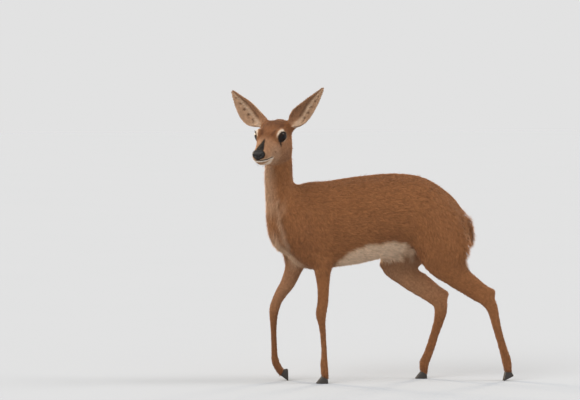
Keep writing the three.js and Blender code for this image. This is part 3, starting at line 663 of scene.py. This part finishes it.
def ear_axes(side):
    """An ear's base and length, and the directions to its tip, out of its cup and to its inner edge."""
    points = ear_points(side)
    base = POLL + HEAD @ (EAR_BASE * (1, side, 1))
    far = points[np.argmax(np.linalg.norm(points - base, axis=1))]
    length = np.linalg.norm(far - base)
    along = (far - base) / length
    forward = HEAD[:, 0] - along * (HEAD[:, 0] @ along)
    forward = forward / np.linalg.norm(forward)
    inward = np.cross(forward, along) * side
    return base, length, along, forward, inward


def ear_place(body, side):
    """Share of an ear's length, and how far across it from -1 at its outer edge to 1 at its inner."""
    base, length, along, _, inward = ear_axes(side)
    edge = ear_points(side) - base
    edge_share = edge @ along / length
    levels = np.linspace(0.05, 0.95, 10)
    near = [np.abs(edge_share - level) < 0.08 for level in levels]
    low = [(edge[mine] @ inward).min() for mine in near]
    high = [(edge[mine] @ inward).max() for mine in near]
    share = (body - base) @ along / length
    low, high = np.interp(share, levels, low), np.interp(share, levels, high)
    return share, 2 * ((body - base) @ inward - low) / (high - low) - 1


def in_cup(normals, side):
    """1 inside an ear's cup and 0 on its back."""
    return smooth(0.0, 0.35, normals @ ear_axes(side)[3])


def ear_band(share, across):
    """The band of long white hair down an ear's cup, from 0 to 1, and the distance from its middle line."""
    middle = across - np.interp(share, [0.1, 0.25, 0.5, 0.8, 1], [-0.2, -0.1, 0.16, 0.26, 0.2])
    return bump(middle, 0.17) * smooth(0.02, 0.1, share) * smooth(1.0, 0.92, share), middle


def long_in_cup(skin, mine, side):
    """How much of an ear's long hair grows at these vertices of it."""
    return in_cup(skin.normals[mine], side) * ear_band(*ear_place(skin.body[mine], side))[0]


def ear_markings(body, normals, side):
    """An ear's markings: white hair inside it, dark spots of skin and a pale rim."""
    share, across = ear_place(body, side)
    inside = in_cup(normals, side)
    band, middle = ear_band(share, across)
    ragged = np.sin(share * 41 + 3 * np.sin(across * 5)) + 0.8 * np.sin(share * 87 + across * 9 + side)
    spots = smooth(0.1, 0.9, ragged) * bump(middle + 0.34, 0.2)
    spots *= smooth(0.14, 0.24, share) * smooth(0.97, 0.86, share)
    outer = smooth(0.0, -0.3, middle)
    white = inside * (0.14 + 0.26 * outer + 0.62 * band + 0.3 * outer * smooth(0.3, 0.1, share))
    rim = smooth(0.86, 0.96, np.abs(across)) * smooth(0.1, 0.25, share)
    white = np.maximum(white, 0.45 * rim)
    line = inside * bump(middle - 0.3, 0.1) * smooth(0.12, 0.25, share)
    deep = 0.2 + 0.25 * line + 0.2 * (1 - inside)
    black = np.maximum(0.7 * inside * spots, 0.42 * line)
    return np.stack([white * (1 - 0.8 * inside * spots), black, deep], 1)


def hair_lie(skin):
    """The direction in which the hair lies at each vertex, along the skin."""
    x, _, z = skin.body.T
    torso = skin.is_in("torso")
    lies = [
        (torso, (1.0, 0, -0.25)),
        (torso & (x > 120), (0.45, 0, -1.0)),  # rump
        (torso & (x < -225), (0.35, 0, -1.0)),  # chest
        (torso & (x > 70) & (z < 430), (0.4, 0, -1.0)),  # thigh
        (torso & (x < -140) & (z < 440), (0.45, 0, -1.0)),  # shoulder
        (skin.is_in("neck"), (0.12, 0, -1.0)),
        (skin.is_in("tail"), (0.1, 0, -1.0)),
        (skin.is_in("head"), FACE @ (-1.0, 0, -0.18)),
    ]
    lie = np.zeros_like(skin.points)
    for mine, way in lies:
        lie[mine] = way
    for name, side in SIDES:
        mine = skin.is_in("ear_" + name)
        _, _, along, _, inward = ear_axes(side)
        lie[mine] = along - 1.2 * long_in_cup(skin, mine, side)[:, None] * inward
    for index, name in enumerate(FLESH):
        if name.startswith("leg"):
            mine = skin.region == index
            lie[mine] = down_the_leg(skin.body[mine])
    return on_surface(spread(lie, skin.edges, 40), skin.normals)


def down_the_leg(points):
    """The direction down a leg's middle line at each of its points."""
    levels = np.arange(0, points[:, 2].max() + 15, 15)
    rows = np.digitize(points[:, 2], levels)
    count = np.maximum(np.bincount(rows, minlength=len(levels) + 1), 1)
    middle = np.stack([np.bincount(rows, points[:, k], len(levels) + 1) / count for k in range(3)], 1)
    lower = np.maximum(rows - 2, rows.min())
    upper = np.minimum(rows + 2, rows.max())
    return unit(middle[lower] - middle[upper])


def hair_sizes(skin):
    """The hair's length and rise at each vertex, as shares of its part's, and 1 where there is none."""
    thin = np.ones(len(skin.points))
    rise = np.ones(len(skin.points))
    bare = np.zeros(len(skin.points))
    x, _, z = skin.body.T
    ahead = -skin.normals[:, 0]
    on_leg = skin.is_in("leg")
    thin[on_leg] = np.interp(z[on_leg], [18, 40, 120, 280, 330], [1.4, 0.85, 0.75, 1.2, 1.6])
    on_head = skin.is_in("head")
    thin[on_head] = np.interp(skin.face[on_head, 0], [20, 70, 105, 140], [1.1, 0.9, 0.62, 0.45])
    trunk = ~(on_head | skin.is_in("ear"))
    rump = trunk * smooth(0.1, 0.7, -ahead) * smooth(185, 205, x) * np.where(skin.is_in("tail"), 0.5, 1)
    rump = rump * smooth(278, 300, z) * (1 - smooth(410, 440, z))
    thin += 0.5 * rump
    rise += 2.5 * rump
    chest = trunk * smooth(0.3, 0.9, ahead) * smooth(-215, -245, x) * smooth(300, 330, z)
    thin += 0.15 * chest
    rise += 0.8 * chest
    under = trunk * smooth(0.3, 0.9, -skin.normals[:, 2]) * (z > 280)
    rise += 0.5 * under
    for local in from_eyes(skin.face):
        near = (np.linalg.norm(local, axis=1) < 30) & (local[:, 2] > 0)
        rim = from_opening(local[:, :2])
        thin = np.where(near, thin * (0.5 + 0.5 * smooth(2, 13, rim)), thin)
        bare = np.maximum(bare, near & (rim < 1.0))
    for name, side in SIDES:
        mine = skin.is_in("ear_" + name)
        fringe = long_in_cup(skin, mine, side)
        thin[mine] += 0.8 * fringe
        rise[mine] += 1.2 * fringe
    bare = np.maximum(bare, from_pad(skin.face) < 0.98)
    edge, share, _ = from_mouth(skin.face)
    bare = np.maximum(bare, (edge < 1.3) & on_head & (skin.face[:, 0] > 85) & (share < 0.99))
    sizes = spread(np.stack([thin, rise], 1), skin.edges, 6)
    return sizes[:, 0], sizes[:, 1], bare


# The coat


def triangles_of(mesh):
    """The corners of each triangle as vertices and as loops."""
    mesh.calc_loop_triangles()
    return [read(mesh.loop_triangles, key, 3, np.int32) for key in ("vertices", "loops")]


def uv_of(mesh):
    return read(mesh.uv_layers["OFBake"].data, "uv", 2)


def unwrap(mesh):
    """Lays the skin's own surface out flat in its map."""
    holder = object_of("unwrapping", mesh, body=None)
    mesh.uv_layers.new(name="OFBake")
    bpy.context.view_layer.objects.active = holder
    holder.select_set(True)
    bpy.ops.object.mode_set(mode="EDIT")
    bpy.ops.mesh.select_all(action="SELECT")
    bpy.ops.uv.smart_project(angle_limit=math.radians(66), island_margin=0.002)
    bpy.ops.object.mode_set(mode="OBJECT")
    bpy.data.objects.remove(holder)


def blended(values, corners, share):
    """Values at points within triangles, from their corners' values and the points' shares of them."""
    return np.einsum("ij,ijk->ik", share, values[corners])


def hair_on(skin, part, faces, corners, loops, uv):
    """Roots on these faces, and what each tuft takes from the skin there."""
    length, width, density, lift = HAIR[part]
    abc = skin.points[corners[faces]]
    area = np.linalg.norm(np.cross(abc[:, 1] - abc[:, 0], abc[:, 2] - abc[:, 0]), axis=1) / 2
    wanted = area / MM**2 * density / 100
    wanted = wanted / np.maximum(skin.thin[corners[faces]].mean(1), 0.3) ** 1.3
    count = np.floor(wanted + rng.random(len(faces))).astype(int)
    chosen = np.repeat(np.arange(len(faces)), count)
    a, b = rng.random((2, len(chosen)))
    over = a + b > 1
    a[over], b[over] = 1 - a[over], 1 - b[over]
    share = np.stack([1 - a - b, a, b], 1)
    mine = corners[faces[chosen]]
    scale = blended(skin.thin[:, None], mine, share)[:, 0]
    rise = blended(skin.rise[:, None], mine, share)[:, 0]
    root = blended(skin.points, mine, share)
    clump = clumps(root)
    stray = np.where(rng.random(len(chosen)) < 0.04, 2.6, 1.0)
    return {
        "root": root,
        "normal": blended(skin.normals, mine, share),
        "lie": blended(skin.lie, mine, share),
        "marks": blended(skin.marks, mine, share),
        "uv": blended(uv, loops[faces[chosen]], share),
        "length": length * scale * rng.uniform(0.75, 1.2, len(chosen)),
        "width": width * scale**0.5 * rng.uniform(0.8, 1.2, len(chosen)),
        "lift": np.radians(lift * rise * rng.uniform(0.4, 1.7, len(chosen)) * stray),
        "turn": rng.normal(0, 0.14, len(chosen)) + 0.5 * (clump[:, 0] - 0.5),
        "shade": np.clip(0.5 * rng.random(len(chosen)) + 0.5 * clump[:, 1], 0, 1),
    }


def clumps(points):
    """Two numbers from 0 to 1 for each point that are alike within a clump."""
    warped = points / MM + 2.0 * np.sin(points[:, (1, 2, 0)] / MM / 5.3)
    cell = np.floor(warped / CLUMP).astype(np.int64)
    place = (cell[:, 0] * 73856093 ^ cell[:, 1] * 19349663 ^ cell[:, 2] * 83492791) % len(CLUMP_TABLE)
    return CLUMP_TABLE[place]


def tuft_mesh(name, hair):
    """All tufts of one piece of coat as one mesh."""
    normal = unit(hair["normal"])
    lie = on_surface(hair["lie"], normal)
    across = np.cross(normal, lie)
    c, s = np.cos(hair["turn"])[:, None], np.sin(hair["turn"])[:, None]
    lie, across = lie * c + across * s, across * c - lie * s
    length, width = hair["length"][:, None] * MM, hair["width"][:, None] * MM
    up, level = np.sin(hair["lift"])[:, None], np.cos(hair["lift"])[:, None]
    root = hair["root"] - normal * 0.35 * MM
    middle = hair["root"] + (lie * level + normal * up * 1.35) * 0.42 * length
    tip = hair["root"] + (lie * level + normal * up) * length
    side, ridge = across * width / 2, normal * width * 0.22
    points = np.stack([root, middle + side, middle - side, middle + ridge, tip], 1)
    points[:, :, 2] = np.maximum(points[:, :, 2], FLOOR_GAP * MM)
    count = len(root)
    faces = (np.arange(count)[:, None, None] * 5 + TUFT_FACES).reshape(-1, 3)
    mesh = bpy.data.meshes.new(name)
    mesh.vertices.add(count * 5)
    mesh.vertices.foreach_set("co", points.astype(np.float32).ravel())
    mesh.loops.add(len(faces) * 3)
    mesh.loops.foreach_set("vertex_index", faces.astype(np.int32).ravel())
    mesh.polygons.add(len(faces))
    mesh.polygons.foreach_set("loop_start", np.arange(0, len(faces) * 3, 3, dtype=np.int32))
    mesh.update(calc_edges=True)
    mesh.shade_flat()
    layer = mesh.uv_layers.new(name="OFBake")
    patch = hair["uv"][:, None, :] + TUFT_PATCH[None]
    layer.data.foreach_set("uv", patch.reshape(-1, 2)[faces.ravel()].astype(np.float32).ravel())
    marks = np.column_stack([hair["marks"], hair["shade"]])
    put_attribute(mesh, "marks", np.repeat(marks, 5, axis=0))
    return mesh


def coat(skin, finish):
    """The coat, in pieces small enough to handle."""
    corners, loops = triangles_of(skin.mesh)
    uv = uv_of(skin.mesh)
    owner = skin.region[corners[:, 0]]
    bald = skin.bare[corners].max(1) > 0.5
    total = 0
    for index, name in enumerate(FLESH):
        part = name.split("_")[0]
        faces = np.flatnonzero((owner == index) & ~bald)
        hair = hair_on(skin, part, faces, corners, loops, uv)
        count = len(hair["root"])
        pieces = max(1, math.ceil(count * 6 / MOST_IN_PIECE))
        order = np.argsort(hair["root"][:, 0])
        for number, mine in enumerate(np.array_split(order, pieces)):
            label = f"coat_{name}" + (f"_{number + 1}" if pieces > 1 else "")
            mesh = tuft_mesh(label, {key: value[mine] for key, value in hair.items()})
            mesh.materials.append(finish)
            object_of(label, mesh)
        total += count
    print(f"coat: {total} tufts, {total * 6} triangles")


def long_hairs(skin, name, roots, normals, lies, lengths, lift, finish):
    """Single long dark hairs as one piece, each with its map at the nearest place of the skin."""
    corners, loops = triangles_of(skin.mesh)
    first = np.zeros((len(skin.points), 2))
    first[corners.ravel()] = uv_of(skin.mesh)[loops.ravel()]
    nearest = [np.argmin(np.linalg.norm(skin.points - root, axis=1)) for root in roots]
    count = len(roots)
    hair = {
        "root": roots,
        "normal": normals,
        "lie": lies,
        "marks": np.tile([0, 0.93, 0.5], (count, 1)),
        "uv": first[nearest],
        "length": lengths,
        "width": np.full(count, 0.42),
        "lift": np.radians(lift * rng.uniform(0.7, 1.2, count)),
        "turn": rng.normal(0, 0.12, count),
        "shade": np.full(count, 0.5),
    }
    mesh = tuft_mesh(name, hair)
    mesh.materials.append(finish)
    object_of(name, mesh)


def lashes(skin, finish):
    """The lashes along each upper lid, longest towards the outer corner."""
    turn = np.radians(np.linspace(18, 166, 34))
    x = OPENING["length"] * np.cos(turn)
    outline = lid_edge(turn, OPENING["upper"]) + (0, 0.5)
    depth = np.sqrt(np.maximum((EYE_RADIUS + LID) ** 2 - np.sum(outline**2, 1), 9))
    local = np.column_stack([outline, depth])
    for name, side in SIDES:
        centre, axes = eye_frame(side)
        roots = from_face(local @ axes.T + centre)
        out = local @ axes.T @ FACE.T
        ways = np.column_stack([outline[:, 0] * 0.07, np.full(len(x), 1.0), np.full(len(x), 0.5)])
        lengths = np.interp(x, [-13, -4, 13], [7.5, 6.5, 3.0])
        long_hairs(skin, "lashes_" + name, roots, out, ways @ axes.T @ FACE.T, lengths, 30, finish)


def whiskers(skin, finish):
    """A few stiff hairs on the chin and the lips."""
    _, _, above = from_mouth(skin.face)
    x, side_y = skin.face[:, 0], np.abs(skin.face[:, 1])
    on_chin = skin.is_in("head") & (above < -7) & (x > 116) & (side_y < 11)
    on_lips = skin.is_in("head") & (above > 4) & (above < 10) & (x > 104) & (x < 132) & (side_y > 8)
    for name, where, length, count in (("chin", on_chin, 12, 16), ("lip", on_lips, 10, 18)):
        picked = rng.choice(np.flatnonzero(where), count, replace=False)
        way = np.tile(FACE @ (0.3, 0.0, -0.6), (count, 1)) + skin.normals[picked] * 0.4
        lengths = length * rng.uniform(0.6, 1.2, count)
        roots, normals = skin.points[picked], skin.normals[picked]
        long_hairs(skin, "whiskers_" + name, roots, normals, way, lengths, 50, finish)


# Materials


class Nodes:
    """A material's node tree, with short calls for the nodes used here."""

    def __init__(self, name):
        self.material = bpy.data.materials.new(name)
        self.material.use_nodes = True
        self.tree = self.material.node_tree
        self.shader = self.tree.nodes["Principled BSDF"]

    def new(self, kind, **values):
        made = self.tree.nodes.new("ShaderNode" + kind)
        for key, value in values.items():
            if key in made.inputs:
                made.inputs[key].default_value = value
            else:
                setattr(made, key, value)
        return made

    def link(self, out, into):
        self.tree.links.new(out, into)

    def put(self, value, socket):
        """Links a socket to this one, or sets its constant; a colour comes without its alpha."""
        if isinstance(value, bpy.types.NodeSocket):
            self.link(value, socket)
        else:
            socket.default_value = (*value, 1) if isinstance(value, tuple) else value

    def place(self, node):
        self.link(self.new("TexCoord").outputs["Object"], node.inputs["Vector"])

    def noise(self, scale, detail=3.0):
        made = self.new("TexNoise", Scale=scale, Detail=detail)
        self.place(made)
        return made.outputs["Fac"]

    def spread(self, value, low, high, start=0.0, stop=1.0, way="LINEAR"):
        made = self.new("MapRange", interpolation_type=way)
        values = {"Value": value, "From Min": start, "From Max": stop, "To Min": low, "To Max": high}
        for key, given in values.items():
            self.put(given, made.inputs[key])
        return made.outputs["Result"]

    def math(self, operation, first, second, clamp=False):
        made = self.new("Math", operation=operation, use_clamp=clamp)
        self.put(first, made.inputs[0])
        self.put(second, made.inputs[1])
        return made.outputs[0]

    def mix(self, share, first, second, blend="MIX"):
        made = self.new("Mix", data_type="RGBA", blend_type=blend)
        for value, socket in ((share, 0), (first, 6), (second, 7)):
            self.put(value, made.inputs[socket])
        return made.outputs[2]

    def bump(self, height, strength, distance):
        made = self.new("Bump", Strength=strength, Distance=distance)
        self.link(height, made.inputs["Height"])
        self.link(made.outputs["Normal"], self.shader.inputs["Normal"])

    def set(self, **values):
        for key, value in values.items():
            self.put(value, self.shader.inputs[key.replace("_", " ")])


def coat_material(name, on_skin):
    """Fawn hair with the coat's markings and the shade and rim light painted into them, each tuft a little
    lighter or darker than the next.
    """
    n = Nodes(name)
    marks = n.new("Attribute", attribute_name="marks")
    split = n.new("SeparateColor")
    n.link(marks.outputs["Color"], split.inputs["Color"])
    # the black and the depth also carry painted shade, and the depth painted rim light
    white, black, deep = split.outputs
    patches = n.spread(n.noise(9.0, 4.0), -0.25, 0.35)
    fine = n.spread(n.noise(160.0, 2.0), -0.12, 0.12)
    depth = n.math("ADD", n.math("ADD", deep, patches), fine, clamp=True)
    colour = n.mix(depth, FAWN, DEEP_FAWN)
    colour = n.mix(n.spread(white, 0.0, 1.5), colour, PALE)
    colour = n.mix(n.spread(white, -2.0, 1.0), colour, WHITE)
    own = marks.outputs["Alpha"]
    vary = n.spread(n.noise(420.0, 2.0), 0.7, 1.0) if on_skin else n.spread(own, 0.6, 1.22)
    grey = n.new("CombineColor")
    for socket in grey.inputs[:3]:
        n.link(vary, socket)
    colour = n.mix(1.0, colour, grey.outputs[0], "MULTIPLY")
    colour = n.mix(black, colour, BLACK)
    n.set(Base_Color=colour, Roughness=n.spread(n.noise(60.0), 0.6, 0.8), Specular_IOR_Level=0.25)
    n.set(Sheen_Weight=0.5, Sheen_Roughness=0.35, Sheen_Tint=(1, 0.78, 0.55))
    if on_skin:
        n.bump(n.noise(900.0, 2.0), 0.35, 0.0006)
    return n.material


def eye_material():
    """A dark brown iris round a wide pupil."""
    n = Nodes("eye")
    place = n.new("Attribute", attribute_name="eye_place")
    split = n.new("SeparateXYZ")
    n.link(place.outputs["Vector"], split.inputs["Vector"])
    x, y, _ = split.outputs
    flat = n.new("CombineXYZ")
    n.link(n.math("MULTIPLY", x, 0.62), flat.inputs[0])
    n.link(y, flat.inputs[1])
    far = n.new("VectorMath", operation="LENGTH")
    n.link(flat.outputs[0], far.inputs[0])
    outside = n.spread(far.outputs["Value"], 0.0, 1.0, 3.6, 4.6, "SMOOTHSTEP")
    iris = n.mix(n.noise(700.0, 4.0), (0.022, 0.008, 0.003), (0.007, 0.003, 0.002))
    n.set(Base_Color=n.mix(outside, (0.002, 0.0018, 0.002), iris), Roughness=0.04, Specular_IOR_Level=0.2)
    return n.material


def nose_material():
    """Black, moist, pebbled leather."""
    n = Nodes("nose_skin")
    pebbles = n.new("TexVoronoi", Scale=950.0, feature="SMOOTH_F1")
    n.place(pebbles)
    colour = n.mix(n.noise(120.0), (0.006, 0.005, 0.005), (0.016, 0.013, 0.012))
    n.set(Base_Color=colour, Roughness=n.spread(n.noise(200.0), 0.34, 0.52), Specular_IOR_Level=0.35)
    n.bump(pebbles.outputs["Distance"], 0.6, 0.0005)
    return n.material


def horn_material():
    """Dark horn with faint growth rings."""
    n = Nodes("hoof_horn")
    rings = n.new("TexWave", Scale=120.0, Distortion=6.0, bands_direction="Z")
    n.place(rings)
    colour = n.mix(n.noise(90.0), HORN, (0.045, 0.034, 0.027))
    n.set(Base_Color=colour, Roughness=n.spread(n.noise(150.0), 0.35, 0.6))
    n.bump(rings.outputs["Fac"], 0.12, 0.0003)
    return n.material


# Skin, eyes, nose, hooves


def dress(name, mesh, finish, slot, *nodes):
    """Puts a smooth mesh in the place of these nodes."""
    mesh.shade_smooth()
    mesh.materials.append(finish)
    made = object_of(name, mesh)
    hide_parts(*nodes)


def finish_skin():
    skin = Skin(whole_skin())
    shape_skin(skin)
    print("skin:", len(skin.points), "points")
    skin.marks = spread(markings(skin), skin.edges, 1)
    skin.lie = hair_lie(skin)
    skin.thin, skin.rise, skin.bare = hair_sizes(skin)
    put_attribute(skin.mesh, "marks", np.column_stack([skin.marks, np.full(len(skin.marks), 0.5)]))
    unwrap(skin.mesh)
    dress("skin", skin.mesh, coat_material("coat_skin", True), "coat", *FLESH)
    return skin


def eyes(finish):
    for name, side in SIDES:
        centre, axes = eye_frame(side)
        made = bmesh.new()
        bmesh.ops.create_uvsphere(made, u_segments=64, v_segments=40, radius=1.0)
        mesh = bpy.data.meshes.new("eyeball_" + name)
        made.to_mesh(mesh)
        made.free()
        local = points_of(mesh)
        front = smooth(0.72, 0.95, local[:, 2])
        local = local * (EYE_RADIUS * (1 + 0.035 * front))[:, None]
        put_attribute(mesh, "eye_place", local)
        put_points(mesh, from_face(local @ axes.T + centre))
        if np.linalg.det(axes) < 0:
            mesh.flip_normals()
        dress("eyeball_" + name, mesh, finish, "eye", "eye_" + name)


def nose(skin, finish):
    """The bare pad: the skin within its outline, raised a little, and closed behind."""
    edge = 1.03
    corners, _ = triangles_of(skin.mesh)
    rim = from_pad(skin.face)
    mine = corners[(rim[corners] < edge).all(1)]
    used, flat = np.unique(mine, return_inverse=True)
    faces = flat.reshape(-1, 3)
    count = len(used)
    raised = 0.45 * smooth(edge, 0.9, rim[used])
    outer = skin.points[used] + skin.normals[used] * (raised * MM)[:, None]
    inner = skin.points[used] - skin.normals[used] * MM
    sides = np.concatenate([faces[:, (0, 1)], faces[:, (1, 2)], faces[:, (2, 0)]])
    known = set(map(tuple, sides.tolist()))
    rims = np.array([(a, b) for a, b in sides.tolist() if (b, a) not in known])
    a, b = rims.T
    walls = [np.stack([b, a, a + count], 1), np.stack([b, a + count, b + count], 1)]
    whole = np.concatenate([faces, faces[:, ::-1] + count, *walls])
    mesh = bpy.data.meshes.new("nose_pad")
    mesh.from_pydata(np.concatenate([outer, inner]).tolist(), [], whole.tolist())
    dress("nose_pad", mesh, finish, "nose_skin", "nose")


def hooves(finish):
    """Finely remeshed, softened copies of the claws."""
    for node in sorted(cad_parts):
        if node.startswith("hoof"):
            mesh = remeshed(solids_of([node], 0), CLAW_VOXEL)
            points, edges = points_of(mesh), edges_of(mesh)
            put_points(mesh, relaxed(points, edges, np.ones(len(points)), 30))
            mesh.name = "claw" + node[4:]
            dress("claw" + node[4:], mesh, finish, "hoof_horn", node)


# Stage


def aimed(name, data, azimuth, elevation, aim, distance):
    """Adds a camera or lamp that looks at `aim` from this azimuth and elevation."""
    turn, tilt = math.radians(azimuth), math.radians(elevation)
    way = Vector((math.sin(turn) * math.cos(tilt), -math.cos(turn) * math.cos(tilt), math.sin(tilt)))
    made = bpy.data.objects.new(name, data)
    bpy.context.scene.collection.objects.link(made)
    made.location = Vector(aim) + way * distance
    made.rotation_euler = (-way).to_track_quat("-Z", "Y").to_euler()
    return made


def camera():
    distance = MM_PER_PIXEL * PICTURE[0] * LENS / SENSOR * MM
    lens = bpy.data.cameras.new("camera")
    lens.lens = LENS
    lens.sensor_width = SENSOR
    lens.clip_end = 100
    bpy.context.scene.camera = aimed("camera", lens, AZIMUTH, ELEVATION, from_body(AIM), distance)
    bpy.context.scene.view_settings.view_transform = "Standard"


def studio():
    world = bpy.data.worlds.new("studio")
    bpy.context.scene.world = world
    world.use_nodes = True
    world.node_tree.nodes["Background"].inputs["Color"].default_value = (1, 1, 1, 1)
    world.node_tree.nodes["Background"].inputs["Strength"].default_value = SKY
    for name, (azimuth, elevation, strength, softness, colour) in LAMPS.items():
        light = bpy.data.lights.new(name, "SUN")
        light.angle = math.radians(softness)
        light.energy = strength
        light.color = colour
        aimed(name, light, azimuth, elevation, (0, 0, 0), 3)
    mesh = bpy.data.meshes.new("floor")
    mesh.from_pydata([(-20, -20, 0), (20, -20, 0), (20, 20, 0), (-20, 20, 0)], [], [(0, 1, 2, 3)])
    n = Nodes("floor")
    n.set(Base_Color=n.mix(n.noise(2.0), *FLOOR), Roughness=0.9, Specular_IOR_Level=0.0)
    mesh.materials.append(n.material)
    object_of("floor", mesh, body=None)


camera()
studio()
skin = finish_skin()
hair = coat_material("coat", False)
coat(skin, hair)
lashes(skin, hair)
whiskers(skin, hair)
eyes(eye_material())
nose(skin, nose_material())
hooves(horn_material())
